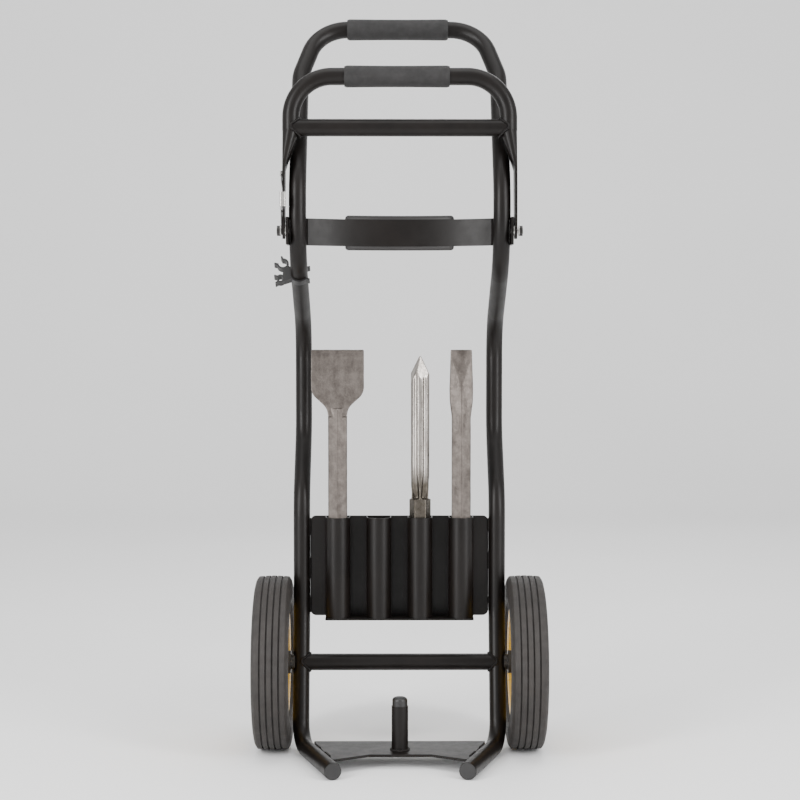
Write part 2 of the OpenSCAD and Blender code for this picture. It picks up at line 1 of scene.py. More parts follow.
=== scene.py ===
"""Studio model of a two-wheel hammer truck, built around its CAD frame.

Metres. +Z up, +X to the right, -Y towards the loading side with the nose plate.
"""

import json
import logging
import math
from dataclasses import dataclass, field
from enum import Enum
from typing import Callable, Iterable, Sequence

import bmesh
import bpy
from mathutils import Matrix, Vector, noise


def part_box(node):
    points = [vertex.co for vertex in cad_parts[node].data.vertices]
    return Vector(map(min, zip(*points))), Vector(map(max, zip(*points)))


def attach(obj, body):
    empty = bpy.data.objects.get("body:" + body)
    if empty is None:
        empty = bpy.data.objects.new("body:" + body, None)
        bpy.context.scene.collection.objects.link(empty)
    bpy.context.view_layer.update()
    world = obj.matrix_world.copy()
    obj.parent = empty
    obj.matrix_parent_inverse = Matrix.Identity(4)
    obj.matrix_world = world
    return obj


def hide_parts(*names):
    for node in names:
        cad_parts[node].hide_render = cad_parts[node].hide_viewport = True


logging.basicConfig(level=logging.INFO, format="%(name)s: %(message)s")
log = logging.getLogger("hammer_truck")

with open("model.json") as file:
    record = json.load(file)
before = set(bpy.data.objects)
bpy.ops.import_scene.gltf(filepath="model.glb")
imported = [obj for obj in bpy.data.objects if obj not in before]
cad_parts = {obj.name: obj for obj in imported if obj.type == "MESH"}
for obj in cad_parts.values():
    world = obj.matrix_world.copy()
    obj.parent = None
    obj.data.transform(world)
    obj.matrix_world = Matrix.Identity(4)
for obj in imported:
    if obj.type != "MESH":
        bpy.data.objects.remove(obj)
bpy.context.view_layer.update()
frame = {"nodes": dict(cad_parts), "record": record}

TUBE_R = 0.0127
MERGE = 1e-6

Color = tuple[float, float, float]
Span = tuple[float, float]


class Body(Enum):
    """The moving bodies that pieces ride on."""

    FRAME = "frame"
    BAIL = "bail"
    WHEEL_LEFT = "wheel_left"
    WHEEL_RIGHT = "wheel_right"
    SCALING_CHISEL = "scaling_chisel"
    BULL_POINT = "bull_point"
    NARROW_CHISEL = "narrow_chisel"


class Side(Enum):
    """Which side of the truck a piece is on."""

    LEFT = -1
    RIGHT = 1

    @property
    def word(self) -> str:
        """The side's name as the CAD nodes spell it."""
        return self.name.lower()


# ---------------------------------------------------------------- finishes


class Graph:
    """A small helper that builds a node material step by step."""

    def __init__(self, name: str) -> None:
        """Starts an empty material with a Principled shader on its output."""
        self.material = bpy.data.materials.new(name)
        self.material.use_nodes = True
        self.tree = self.material.node_tree
        self.tree.nodes.clear()
        self.out = self.tree.nodes.new("ShaderNodeOutputMaterial")
        self.shader = self.tree.nodes.new("ShaderNodeBsdfPrincipled")
        self.tree.links.new(self.shader.outputs["BSDF"], self.out.inputs["Surface"])
        self.coords = self.tree.nodes.new("ShaderNodeTexCoord").outputs["Object"]

    def add(self, kind: str, **settings: object) -> bpy.types.Node:
        """Adds a node.

        Args:
            kind: The node's type without the ShaderNode prefix.
            **settings: Attributes of the node, or socket values by socket name with _ for spaces.

        Returns:
            The new node.
        """
        node = self.tree.nodes.new("ShaderNode" + kind)
        for key, value in settings.items():
            if hasattr(node, key):
                setattr(node, key, value)
            else:
                node.inputs[key.replace("_", " ")].default_value = value
        return node

    def link(self, a: bpy.types.NodeSocket, b: bpy.types.NodeSocket) -> None:
        """Links socket a to socket b."""
        self.tree.links.new(a, b)

    def mapped(self, scale: Sequence[float], place: Sequence[float] = (0, 0, 0)) -> bpy.types.NodeSocket:
        """Object coordinates moved by place and then scaled.

        Args:
            scale: Factor along each axis.
            place: Point that becomes the origin.

        Returns:
            The mapped coordinates.
        """
        shift = self.add("VectorMath", operation="SUBTRACT")
        self.link(self.coords, shift.inputs[0])
        shift.inputs[1].default_value = place
        grow = self.add("VectorMath", operation="MULTIPLY")
        self.link(shift.outputs[0], grow.inputs[0])
        grow.inputs[1].default_value = scale
        return grow.outputs[0]

    def noise(self, scale: float, detail: float = 4, rough: float = 0.55,
              coords: bpy.types.NodeSocket | None = None) -> bpy.types.NodeSocket:
        """Noise value at a scale per metre.

        Args:
            scale: Features per metre, roughly.
            detail: Octaves.
            rough: Weight of the finer octaves.
            coords: Coordinates to read, or the object's own.

        Returns:
            The noise value, about 0.5 in the middle.
        """
        node = self.add("TexNoise", Scale=scale, Detail=detail, Roughness=rough)
        self.link(coords or self.coords, node.inputs["Vector"])
        return node.outputs["Fac"]

    def cells(self, scale: float, coords: bpy.types.NodeSocket | None = None) -> bpy.types.NodeSocket:
        """Distance to the nearest random cell centre, for pits and dents."""
        node = self.add("TexVoronoi", Scale=scale)
        self.link(coords or self.coords, node.inputs["Vector"])
        return node.outputs["Distance"]

    def ramp(self, value: bpy.types.NodeSocket,
             stops: Iterable[tuple[float, Sequence[float]]]) -> bpy.types.NodeSocket:
        """Colour ramp over a value.

        Args:
            value: The value to colour.
            stops: (position, RGB) pairs, lowest first.

        Returns:
            The colour.
        """
        node = self.add("ValToRGB")
        for i, (at, rgb) in enumerate(stops):
            stop = node.color_ramp.elements[i] if i < 2 else node.color_ramp.elements.new(at)
            stop.position = at
            stop.color = (*rgb, 1)
        self.link(value, node.inputs["Fac"])
        return node.outputs["Color"]

    def span(self, value: bpy.types.NodeSocket, low: float, high: float,
             out_low: float, out_high: float) -> bpy.types.NodeSocket:
        """Maps a value from one range onto another, clamped.

        Args:
            value: The value to map.
            low: Value that becomes out_low.
            high: Value that becomes out_high.
            out_low: Start of the new range.
            out_high: End of the new range.

        Returns:
            The mapped value.
        """
        node = self.add("MapRange")
        for key, number in (("From Min", low), ("From Max", high), ("To Min", out_low), ("To Max", out_high)):
            node.inputs[key].default_value = number
        self.link(value, node.inputs["Value"])
        return node.outputs["Result"]

    def math(self, operation: str, a: bpy.types.NodeSocket | float,
             b: bpy.types.NodeSocket | float = 0.0) -> bpy.types.NodeSocket:
        """One arithmetic step on sockets or numbers.

        Args:
            operation: The Math node's operation.
            a: First value.
            b: Second value.

        Returns:
            The result.
        """
        node = self.add("Math", operation=operation)
        for i, value in enumerate((a, b)):
            if isinstance(value, (int, float)):
                node.inputs[i].default_value = value
            else:
                self.link(value, node.inputs[i])
        return node.outputs[0]

    def blend(self, factor: bpy.types.NodeSocket, a: bpy.types.NodeSocket | Sequence[float],
              b: bpy.types.NodeSocket | Sequence[float]) -> bpy.types.NodeSocket:
        """Mixes colour a with colour b.

        Args:
            factor: Share of b, from 0 to 1.
            a: First colour.
            b: Second colour.

        Returns:
            The mixed colour.
        """
        node = self.add("Mix", data_type="RGBA")
        self.link(factor, node.inputs[0])
        for i, value in ((6, a), (7, b)):
            if isinstance(value, bpy.types.NodeSocket):
                self.link(value, node.inputs[i])
            else:
                node.inputs[i].default_value = (*value, 1)
        return node.outputs[2]

    def bump(self, height: bpy.types.NodeSocket, depth: float, strength: float = 1.0,
             under: bpy.types.NodeSocket | None = None) -> bpy.types.NodeSocket:
        """Bumps the surface by a height.

        Args:
            height: Height from 0 to 1.
            depth: Depth in metres of one unit of height.
            strength: How much of it shows.
            under: A coarser bump to add this one to.

        Returns:
            The normal.
        """
        node = self.add("Bump", Strength=strength, Distance=depth)
        self.link(height, node.inputs["Height"])
        if under is not None:
            self.link(under, node.inputs["Normal"])
        return node.outputs["Normal"]

    def finish(self, color: bpy.types.NodeSocket | None = None, rough: bpy.types.NodeSocket | None = None,
               normal: bpy.types.NodeSocket | None = None, **numbers: object) -> bpy.types.Material:
        """Joins colour, roughness and normal to the shader and sets its plain values.

        Args:
            color: Base colour.
            rough: Roughness.
            normal: Normal.
            **numbers: Other sockets' values, with _ for spaces.

        Returns:
            The finished material.
        """
        for value, key in ((color, "Base Color"), (rough, "Roughness"), (normal, "Normal")):
            if value is not None:
                self.link(value, self.shader.inputs[key])
        for key, number in numbers.items():
            self.shader.inputs[key.replace("_", " ")].default_value = number
        return self.material


@dataclass(frozen=True)
class PowderCoat:
    """Black powder coat: fine orange peel, faint drifts of dust and scuffs."""

    name: str = "powder_coat"
    dark: Color = (0.0034, 0.0025, 0.0021)
    light: Color = (0.0068, 0.0051, 0.0044)
    roughness: Span = (0.33, 0.45)

    def build(self) -> bpy.types.Material:
        """Builds the material."""
        g = Graph(self.name)
        drift = g.noise(9, 5, 0.6)
        color = g.ramp(drift, ((0.35, self.dark), (0.7, self.light)))
        rough = g.span(g.noise(60, 6, 0.7), 0.3, 0.7, *self.roughness)
        peel = g.bump(g.noise(420, 2, 0.5), 0.00022, 0.35)
        fine = g.bump(g.noise(1500, 2, 0.5), 0.00008, 0.3, peel)
        return g.finish(color, rough, fine, Specular_IOR_Level=0.2)


@dataclass(frozen=True)
class Foam:
    """Closed-cell foam sleeve: small pores with painted shade in their pits, matte, slightly worn."""

    name: str = "grip_foam"
    dark: Color = (0.0055, 0.005, 0.005)
    light: Color = (0.0115, 0.0103, 0.0103)

    def build(self) -> bpy.types.Material:
        """Builds the material."""
        g = Graph(self.name)
        pores = g.cells(900)
        # The pores' centres are painted dark: painted shade in the pits that the bump below sinks.
        color = g.blend(g.span(pores, 0.05, 0.5, 0.0, 1.0), self.dark, g.ramp(
            g.noise(30, 4), ((0.3, self.dark), (0.7, self.light))))
        rough = g.span(g.noise(90, 4), 0.3, 0.7, 0.72, 0.9)
        coarse = g.bump(g.noise(220, 3), 0.0004, 0.35)
        pits = g.bump(g.span(pores, 0.0, 0.45, 0.0, 1.0), 0.00025, 0.6, coarse)
        return g.finish(color, rough, pits, Sheen_Weight=0.03, Sheen_Roughness=0.5)


@dataclass(frozen=True)
class PadRubber:
    """Moulded rubber of the back pad: satin, lightly mottled."""

    name: str = "pad_rubber"
    dark: Color = (0.0075, 0.0065, 0.0062)
    light: Color = (0.0135, 0.012, 0.0115)

    def build(self) -> bpy.types.Material:
        """Builds the material."""
        g = Graph(self.name)
        color = g.ramp(g.noise(26, 5, 0.65), ((0.3, self.dark), (0.72, self.light)))
        rough = g.span(g.noise(120, 5), 0.3, 0.7, 0.42, 0.6)
        grain = g.bump(g.noise(700, 3), 0.00016, 0.5)
        return g.finish(color, rough, grain)


@dataclass(frozen=True)
class TyreRubber:
    """Tyre rubber: brown-grey dusting, with the mould's fine lines running round the tread."""

    name: str = "tyre_rubber"
    dark: Color = (0.0105, 0.0085, 0.0073)
    light: Color = (0.024, 0.0195, 0.017)
    line_pitch: float = 0.0016

    def build(self) -> bpy.types.Material:
        """Builds the material."""
        g = Graph(self.name)
        split = g.add("SeparateXYZ")
        g.link(g.coords, split.inputs[0])
        phase = g.math("MULTIPLY", split.outputs["X"], 2 * math.pi / self.line_pitch)
        lines = g.span(g.math("SINE", phase), -1.0, 1.0, 0.0, 1.0)
        dust = g.noise(35, 6, 0.7)
        color = g.blend(g.span(lines, 0.0, 1.0, 0.0, 0.5),
                        g.ramp(dust, ((0.3, self.dark), (0.7, self.light))), self.dark)
        rough = g.span(g.noise(80, 5), 0.3, 0.7, 0.6, 0.8)
        normal = g.bump(g.noise(600, 3), 0.0002, 0.4, g.bump(lines, 0.00025, 0.4))
        return g.finish(color, rough, normal)


@dataclass(frozen=True)
class RimPaint:
    """Glossy yellow enamel on the pressed wheel discs."""

    name: str = "yellow_rim"
    color: Color = (0.66, 0.39, 0.035)
    worn: Color = (0.52, 0.29, 0.025)

    def build(self) -> bpy.types.Material:
        """Builds the material."""
        g = Graph(self.name)
        color = g.ramp(g.noise(22, 5, 0.6), ((0.3, self.worn), (0.65, self.color)))
        rough = g.span(g.noise(70, 4), 0.3, 0.7, 0.24, 0.36)
        peel = g.bump(g.noise(380, 2), 0.00015, 0.35)
        return g.finish(color, rough, peel, Coat_Weight=0.4, Coat_Roughness=0.12)


@dataclass(frozen=True)
class Plastic:
    """Moulded plastic: fine spark-eroded grain."""

    name: str
    dark: Color
    light: Color
    roughness: Span = (0.38, 0.5)

    def build(self) -> bpy.types.Material:
        """Builds the material."""
        g = Graph(self.name)
        color = g.ramp(g.noise(40, 4), ((0.35, self.dark), (0.7, self.light)))
        rough = g.span(g.noise(150, 4), 0.3, 0.7, *self.roughness)
        return g.finish(color, rough, g.bump(g.noise(1100, 2), 0.0001, 0.4))


@dataclass(frozen=True)
class PlatedSteel:
    """Zinc-plated or blackened small hardware: turning lines and dull patches."""

    name: str
    dark: Color
    light: Color
    roughness: Span = (0.22, 0.38)
    metallic: float = 1.0

    def build(self) -> bpy.types.Material:
        """Builds the material."""
        g = Graph(self.name)
        color = g.ramp(g.noise(160, 5, 0.65), ((0.3, self.dark), (0.7, self.light)))
        rough = g.span(g.noise(240, 4), 0.3, 0.7, *self.roughness)
        turned = g.noise(260, 2, 0.5, g.mapped((9, 1, 1)))
        return g.finish(color, rough, g.bump(turned, 0.00006, 0.4), Metallic=self.metallic)


@dataclass(frozen=True)
class ForgedSteel:
    """As-forged, shot-blasted steel: mottled warm grey scale over dents and pits, with convex edges painted
    pale, partly as rubbed bare steel and partly as a painted edge highlight.
    """

    name: str = "forged_steel"
    scale_dark: Color = (0.066, 0.056, 0.050)
    scale_light: Color = (0.138, 0.120, 0.108)
    # Pale edge colour: bare rubbed steel, and also a painted highlight along the edges.
    bare: Color = (0.52, 0.48, 0.445)

    def build(self) -> bpy.types.Material:
        """Builds the material."""
        g = Graph(self.name)
        mottle = g.noise(75, 8, 0.72)
        long_marks = g.noise(60, 5, 0.6, g.mapped((1.6, 1.6, 0.35)))
        scale = g.ramp(g.math("ADD", g.math("MULTIPLY", mottle, 0.6), g.math("MULTIPLY", long_marks, 0.4)),
                       ((0.38, self.scale_dark), (0.6, self.scale_light)))
        # Pointiness paints the convex edges towards the pale colour: partly rubbed wear, partly a painted
        # edge highlight.
        edge = g.add("NewGeometry").outputs["Pointiness"]
        rubbed_wear_and_painted_highlight = g.span(g.math("ADD", edge, g.math("MULTIPLY", g.noise(300, 3), 0.04)), 0.56, 0.62, 0.0, 0.8)
        color = g.blend(rubbed_wear_and_painted_highlight, scale, self.bare)
        rough = g.span(g.noise(210, 6, 0.7), 0.3, 0.7, 0.4, 0.62)
        dents = g.bump(g.noise(95, 4, 0.6), 0.0011, 0.5)
        pits = g.bump(g.cells(430), 0.0004, 0.35, dents)
        return g.finish(color, rough, pits, Metallic=0.82)


@dataclass(frozen=True)
class PointSteel:
    """Steel of the fluted point: rolled bright above, darker oiled hexagon below."""

    name: str = "bright_steel"
    hexagon: Color = (0.052, 0.044, 0.033)
    bright: Color = (0.46, 0.43, 0.40)
    streak: Color = (0.20, 0.18, 0.16)
    change_z: float = 0.408
    change_span: float = 0.03

    def build(self) -> bpy.types.Material:
        """Builds the material."""
        g = Graph(self.name)
        split = g.add("SeparateXYZ")
        g.link(g.coords, split.inputs[0])
        height = g.math("ADD", split.outputs["Z"], g.math("MULTIPLY", g.noise(120, 3), 0.012))
        up = g.span(height, self.change_z, self.change_z + self.change_span, 0.0, 1.0)
        drawn = g.noise(90, 5, 0.6, g.mapped((2, 2, 0.25)))
        rolled = g.ramp(drawn, ((0.3, self.streak), (0.65, self.bright)))
        oiled = g.ramp(g.noise(70, 6, 0.7), ((0.35, self.hexagon), (0.95, self.streak)))
        color = g.blend(up, oiled, rolled)
        rough = g.span(g.noise(260, 5, 0.6), 0.3, 0.7, 0.24, 0.4)
        marks = g.bump(g.noise(140, 4, 0.6), 0.0003, 0.35)
        return g.finish(color, rough, marks, Metallic=0.95)


@dataclass(frozen=True)
class StudioFloor:
    """Plain pale floor."""

    name: str = "studio_floor"
    pale: Color = (0.86, 0.86, 0.86)
    paler: Color = (0.9, 0.9, 0.9)

    def build(self) -> bpy.types.Material:
        """Builds the material."""
        g = Graph(self.name)
        color = g.ramp(g.noise(0.8, 2), ((0.3, self.pale), (0.7, self.paler)))
        return g.finish(color, None, g.bump(g.noise(60, 2), 0.0002, 0.1), Roughness=0.7)


@dataclass
class Palette:
    """The truck's finishes, by material slot."""

    powder_coat: bpy.types.Material = field(default_factory=lambda: PowderCoat().build())
    grip_foam: bpy.types.Material = field(default_factory=lambda: Foam().build())
    pad_rubber: bpy.types.Material = field(default_factory=lambda: PadRubber().build())
    tyre_rubber: bpy.types.Material = field(default_factory=lambda: TyreRubber().build())
    yellow_rim: bpy.types.Material = field(default_factory=lambda: RimPaint().build())
    black_plastic: bpy.types.Material = field(default_factory=lambda: Plastic(
        "black_plastic", (0.005, 0.0046, 0.0046), (0.010, 0.0092, 0.0092)).build())
    bush_nylon: bpy.types.Material = field(default_factory=lambda: Plastic(
        "bush_nylon", (0.60, 0.58, 0.53), (0.72, 0.70, 0.65)).build())
    zinc_plate: bpy.types.Material = field(default_factory=lambda: PlatedSteel(
        "zinc_plate", (0.40, 0.39, 0.375), (0.60, 0.585, 0.565)).build())
    black_zinc: bpy.types.Material = field(default_factory=lambda: PlatedSteel(
        "black_zinc", (0.020, 0.019, 0.018), (0.055, 0.052, 0.050), (0.28, 0.4), 0.7).build())
    forged_steel: bpy.types.Material = field(default_factory=lambda: ForgedSteel().build())
    bright_steel: bpy.types.Material = field(default_factory=lambda: PointSteel().build())

    def of(self, slot: str) -> bpy.types.Material:
        """The finish of a material slot."""
        return getattr(self, slot)


# ---------------------------------------------------------------- shaping


def wave(seed: float) -> float:
    """A repeatable number from -1 to 1 for a seed."""
    return math.sin(seed * 12.9898 + 4.1414) * math.cos(seed * 78.233)


def smooth(bm: bmesh.types.BMesh) -> None:
    """Shades every face smooth."""
    for face in bm.faces:
        face.smooth = True


def rounded_profile(points: Sequence[tuple[float, float]], radius: Sequence[float],
                    steps: int = 5) -> list[tuple[float, float]]:
    """Rounds the corners of a flat outline.

    Args:
        points: The outline's corners in order, as (distance out, place along).
        radius: Rounding radius at each corner, 0 for a sharp one.
        steps: Segments of each rounded corner.

    Returns:
        The rounded outline, starting and ending where points do.
    """
    done: list[tuple[float, float]] = []
    last = len(points) - 1
    for i, point in enumerate(points):
        if radius[i] <= 0 or i in (0, last):
            done.append(point)
            continue
        here, before, after = Vector(point), Vector(points[i - 1]), Vector(points[i + 1])
        into, out = (here - before).normalized(), (after - here).normalized()
        half = into.angle(out) / 2
        room = 0.49 * min((here - before).length, (after - here).length)
        back = min(radius[i] * math.tan(half), room)
        start, end = here - into * back, here + out * back
        for k in range(steps + 1):
            t = k / steps
            bent = start * (1 - t) ** 2 + here * 2 * t * (1 - t) + end * t ** 2
            done.append((bent.x, bent.y))
    return done


def spun(bm: bmesh.types.BMesh, outline: Sequence[tuple[float, float]], place: Matrix, steps: int) -> None:
    """Spins a closed outline a full turn about X.

    Args:
        bm: The mesh to add to.
        outline: (radius, place along X) points.
        place: Where the spun shape goes.
        steps: Segments round the turn.
    """
    verts = [bm.verts.new(place @ Vector((x, 0, r))) for r, x in outline]
    edges = [bm.edges.new(pair) for pair in zip(verts, verts[1:] + verts[:1])]
    centre = place @ Vector((0, 0, 0))
    axis = (place.to_3x3() @ Vector((1, 0, 0))).normalized()
    bmesh.ops.spin(bm, geom=verts + edges, cent=centre, axis=axis, angle=2 * math.pi, steps=steps,
                   use_merge=True)
    bmesh.ops.remove_doubles(bm, verts=bm.verts, dist=MERGE)


@dataclass
class Shop:
    """Makes finished objects out of meshes and dresses the CAD nodes."""

    palette: Palette
    edge_segments: int = 2
    edge_angle: float = math.radians(32)

    def piece(self, name: str, body: Body, slot: str, build: Callable[[bmesh.types.BMesh], None],
              replaces: Sequence[str] = ()) -> bpy.types.Object:
        """Builds one piece and rides it on its body.

        Args:
            name: The piece's name.
            body: The body it rides on.
            slot: The material slot of its finish.
            build: Fills the piece's mesh.
            replaces: CAD nodes that it stands for.

        Returns:
            The finished object.
        """
        bm = bmesh.new()
        build(bm)
        bmesh.ops.recalc_face_normals(bm, faces=bm.faces)
        smooth(bm)
        mesh = bpy.data.meshes.new(name)
        bm.to_mesh(mesh)
        bm.free()
        mesh.materials.append(self.palette.of(slot))
        obj = bpy.data.objects.new(name, mesh)
        bpy.context.scene.collection.objects.link(obj)
        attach(obj, body.value)
        if replaces:
            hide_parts(*replaces)
        log.info("%s on %s, %d faces", name, body.value, len(mesh.polygons))
        return obj

    def dress(self, node: str, bevel: float = 0.0) -> None:
        """Gives a CAD node its finish, and breaks its sharp edges where asked.

        Args:
            node: The CAD node.
            bevel: Width of the broken edges in metres, 0 for none.
        """
        obj = frame["nodes"][node]
        slot = next(row["material_slot"] for row in frame["record"]["subparts"] if row["node"] == node)
        material = self.palette.of(slot)
        if not obj.material_slots:
            obj.data.materials.append(material)
        for holder in obj.material_slots:
            holder.material = material
        if bevel:
            weld = obj.modifiers.new("joined", "WELD")
            weld.merge_threshold = MERGE
            edge = obj.modifiers.new("broken_edges", "BEVEL")
            edge.width = bevel
            edge.segments = self.edge_segments
            edge.limit_method = "ANGLE"
            edge.angle_limit = self.edge_angle
        log.info("%s dressed with %s", node, slot)


# ---------------------------------------------------------------- welds


@dataclass(frozen=True)
class WeldBead:
    """A hand-laid bead: a row of overlapping ripples along a line."""

    radius: float
    pitch: float = 0.0019
    flat: float = 0.8
    uneven_pitch: float = 0.18
    uneven_size: float = 0.16

    def lay(self, bm: bmesh.types.BMesh, points: Sequence[Vector], seed: float = 0.0) -> None:
        """Lays ripples along a line of points.

        Args:
            bm: The mesh to add to.
            points: The line's points.
            seed: Varies the ripples.
        """
        travelled = 0.0
        count = 0
        for a, b in zip(points, points[1:]):
            run = (b - a).length
            while travelled < run:
                at = a.lerp(b, travelled / run)
                along = (b - a).normalized()
                self._ripple(bm, at, along, seed + count)
                travelled += self.pitch * (1 + self.uneven_pitch * wave(seed + count * 0.7))
                count += 1
            travelled -= run

    def _ripple(self, bm: bmesh.types.BMesh, at: Vector, along: Vector, seed: float) -> None:
        """Adds one ripple, flattened along the bead's travel."""
        size = self.radius * (1 + self.uneven_size * wave(seed * 1.7))
        turn = along.to_track_quat("Z", "Y").to_matrix().to_4x4()
        shape = Matrix.Diagonal((size, size, size * self.flat, 1))
        place = Matrix.Translation(at) @ turn @ shape
        bmesh.ops.create_icosphere(bm, subdivisions=2, radius=1, matrix=place)


def line(a: Sequence[float], b: Sequence[float], steps: int = 4) -> list[Vector]:
    """Points on a straight line.

    Args:
        a: Where it starts.
        b: Where it ends.
        steps: Stretches between the points.

    Returns:
        The points, both ends included.
    """
    start, end = Vector(a), Vector(b)
    return [start.lerp(end, k / steps) for k in range(steps + 1)]


def saddle(side: Side, root: Vector, along: Vector, spread: float = 0.0006, steps: int = 40) -> list[Vector]:
    """The line where a cross tube along X meets an upright tube of the same size.

    Args:
        side: The side of the truck.
        root: Where the two centre lines cross.
        along: The upright's direction.
        spread: How far outside the cross tube the line runs.
        steps: Points round it.

    Returns:
        The closed line's points.
    """
    across = along.cross(Vector((1, 0, 0))).normalized()
    points = []
    for k in range(steps + 1):
        a = 2 * math.pi * k / steps
        up, out = (TUBE_R + spread) * math.sin(a), (TUBE_R + spread) * math.cos(a)
        reach = math.sqrt(max(TUBE_R ** 2 - min(abs(out), TUBE_R) ** 2, 0))
        points.append(root + Vector((-side.value * (reach + spread), 0, 0)) + along * up + across * out)
    return points


# ---------------------------------------------------------------- sub-assemblies


@dataclass
class FrameAssembly:
    """The welded frame with its grip, strap, pad, nose plate, post and tool holder."""

    shop: Shop
    rail_x: float = 0.1493
    heel_drop: float = 0.048
    heel_rise: float = 0.1923
    foot_run: tuple[float, float] = (0.0533, 0.167)
    foot_seams: tuple[Span, ...] = ((0.052, 0.074), (0.104, 0.128))
    bend_r: float = 0.110
    bend_z: float = 0.81365
    bend_behind: float = 0.0006
    seam_rows: dict[Side, tuple[Span, ...]] = field(default_factory=lambda: {
        Side.LEFT: ((0.326, 0.349), (0.259, 0.288), (0.207, 0.229)),
        Side.RIGHT: ((0.331, 0.349), (0.274, 0.297), (0.221, 0.228)),
    })
    seam_bead: WeldBead = WeldBead(0.0023)
    ring_bead: WeldBead = WeldBead(0.0019)
    front_bead: WeldBead = WeldBead(0.0025)
    rear_bead: WeldBead = WeldBead(0.0022)
    ring_spread: float = 0.0006
    plate_edge: float = 0.0006
    pad_fill: float = 0.95
    plain_nodes: tuple[str, ...] = (
        "holder_back", "holder_front", "holder_floor", "back_strap", "post_cap", "hammer_post", "foot_plugs",
        "pivot_nuts", "pivot_washers", "pivot_studs", "axle_washers", "axle_spacers", "axle", "axle_caps",
        "cable_clip", "main_frame", "axle_tube")

    def build(self) -> None:
        """Builds every piece of the frame."""
        self.shop.dress("base_plate", self.plate_edge)
        for node in self.plain_nodes:
            self.shop.dress(node)
        self.grip()
        self.pad()
        self.welds()

    def grip(self) -> None:
        """Foam sleeve on the rear handle."""
        sleeve = FoamSleeve(*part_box("rear_grip"))
        self.shop.piece("rear_grip_foam", Body.FRAME, "grip_foam", sleeve.fill, ("rear_grip",))

    def pad(self) -> None:
        """Rubber pad let in behind the bowed strap."""
        low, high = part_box("strap_pad")
        pad = PadShape(low, high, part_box("back_strap")[1].y)
        obj = self.shop.piece("strap_pad_sleeve", Body.FRAME, "pad_rubber", pad.fill, ("strap_pad",))

    def welds(self) -> None:
        """Weld beads of the frame, all in the frame's own coat."""
        for name, build in (("holder_welds", self._holder_welds), ("axle_tube_welds", self._axle_tube_welds),
                            ("nose_plate_welds", self._plate_welds), ("post_weld", self._post_weld),
                            ("strap_welds", self._strap_welds)):
            self.shop.piece(name, Body.FRAME, "powder_coat", build)

    def _holder_welds(self, bm: bmesh.types.BMesh) -> None:
        """Stitches between the holder's back plate and the rails."""
        low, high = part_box("holder_back")
        lift = 0.0004
        for side, rows in self.seam_rows.items():
            x = side.value * (high.x + self.ring_spread)
            for i, (z0, z1) in enumerate(rows):
                for bead, y, turn in ((self.front_bead, low.y - lift, 9), (self.rear_bead, high.y + lift, 5)):
                    bead.lay(bm, line((x, y, z0), (x, y, z1)), seed=i + turn * side.value)

    def _axle_tube_welds(self, bm: bmesh.types.BMesh) -> None:
        """Beads round both ends of the axle tube."""
        low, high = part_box("axle_tube")
        along = Vector((0, self.heel_drop, self.heel_rise)).normalized()
        for side in Side:
            root = Vector((side.value * self.rail_x, (low.y + high.y) / 2, (low.z + high.z) / 2))
            self.ring_bead.lay(bm, saddle(side, root, along), seed=3.0 * side.value)

    def _plate_welds(self, bm: bmesh.types.BMesh) -> None:
        """Stitches between the nose plate and the feet."""
        low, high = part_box("base_plate")
        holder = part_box("holder_back")
        heel_y = (holder[0].y + holder[1].y) / 2 - self.heel_drop
        run = Vector((-self.foot_run[0], -self.foot_run[1], 0)).normalized()
        inward = Vector((run.y, -run.x, 0))
        proud = 0.0004
        for side in Side:
            for z, lift in ((high.z, 0.0002), (low.z, -0.0002)):
                reach = math.sqrt(TUBE_R ** 2 - (z - TUBE_R) ** 2) + proud
                heel = Vector((self.rail_x, heel_y, z + lift))
                for i, seam in enumerate(self.foot_seams):
                    ends = [heel + run * s + inward * reach for s in seam]
                    points = [Vector((side.value * p.x, p.y, p.z)) for p in ends]
                    self.seam_bead.lay(bm, line(*points), seed=side.value * 4 + i)

    def _post_weld(self, bm: bmesh.types.BMesh) -> None:
        """Bead round the foot of the post."""
        low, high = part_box("hammer_post")
        centre = (low + high) / 2
        radius = (high.x - low.x) / 2 + self.ring_spread
        z = low.z + self.ring_spread
        steps = 36
        turns = [2 * math.pi * k / steps for k in range(steps + 1)]
        ring = [Vector((centre.x + radius * math.cos(a), centre.y + radius * math.sin(a), z)) for a in turns]
        self.ring_bead.lay(bm, ring, seed=2.0)

    def _strap_welds(self, bm: bmesh.types.BMesh) -> None:
        """Beads between the strap's ears and the rails, following the rails' bend."""
        low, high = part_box("back_strap")
        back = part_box("holder_back")
        bend_y = (back[0].y + back[1].y) / 2 + self.bend_behind
        inset = 0.004
        seat = Vector((0.0112, -0.0062))
        for side in Side:
            path = []
            for at in line((0, 0, low.z + inset), (0, 0, high.z - inset)):
                rail_y = bend_y - math.sqrt(self.bend_r ** 2 - (at.z - self.bend_z) ** 2)
                path.append(Vector((side.value * (self.rail_x + seat.x), rail_y + seat.y, at.z)))
            self.seam_bead.lay(bm, path, seed=6.0 * side.value)


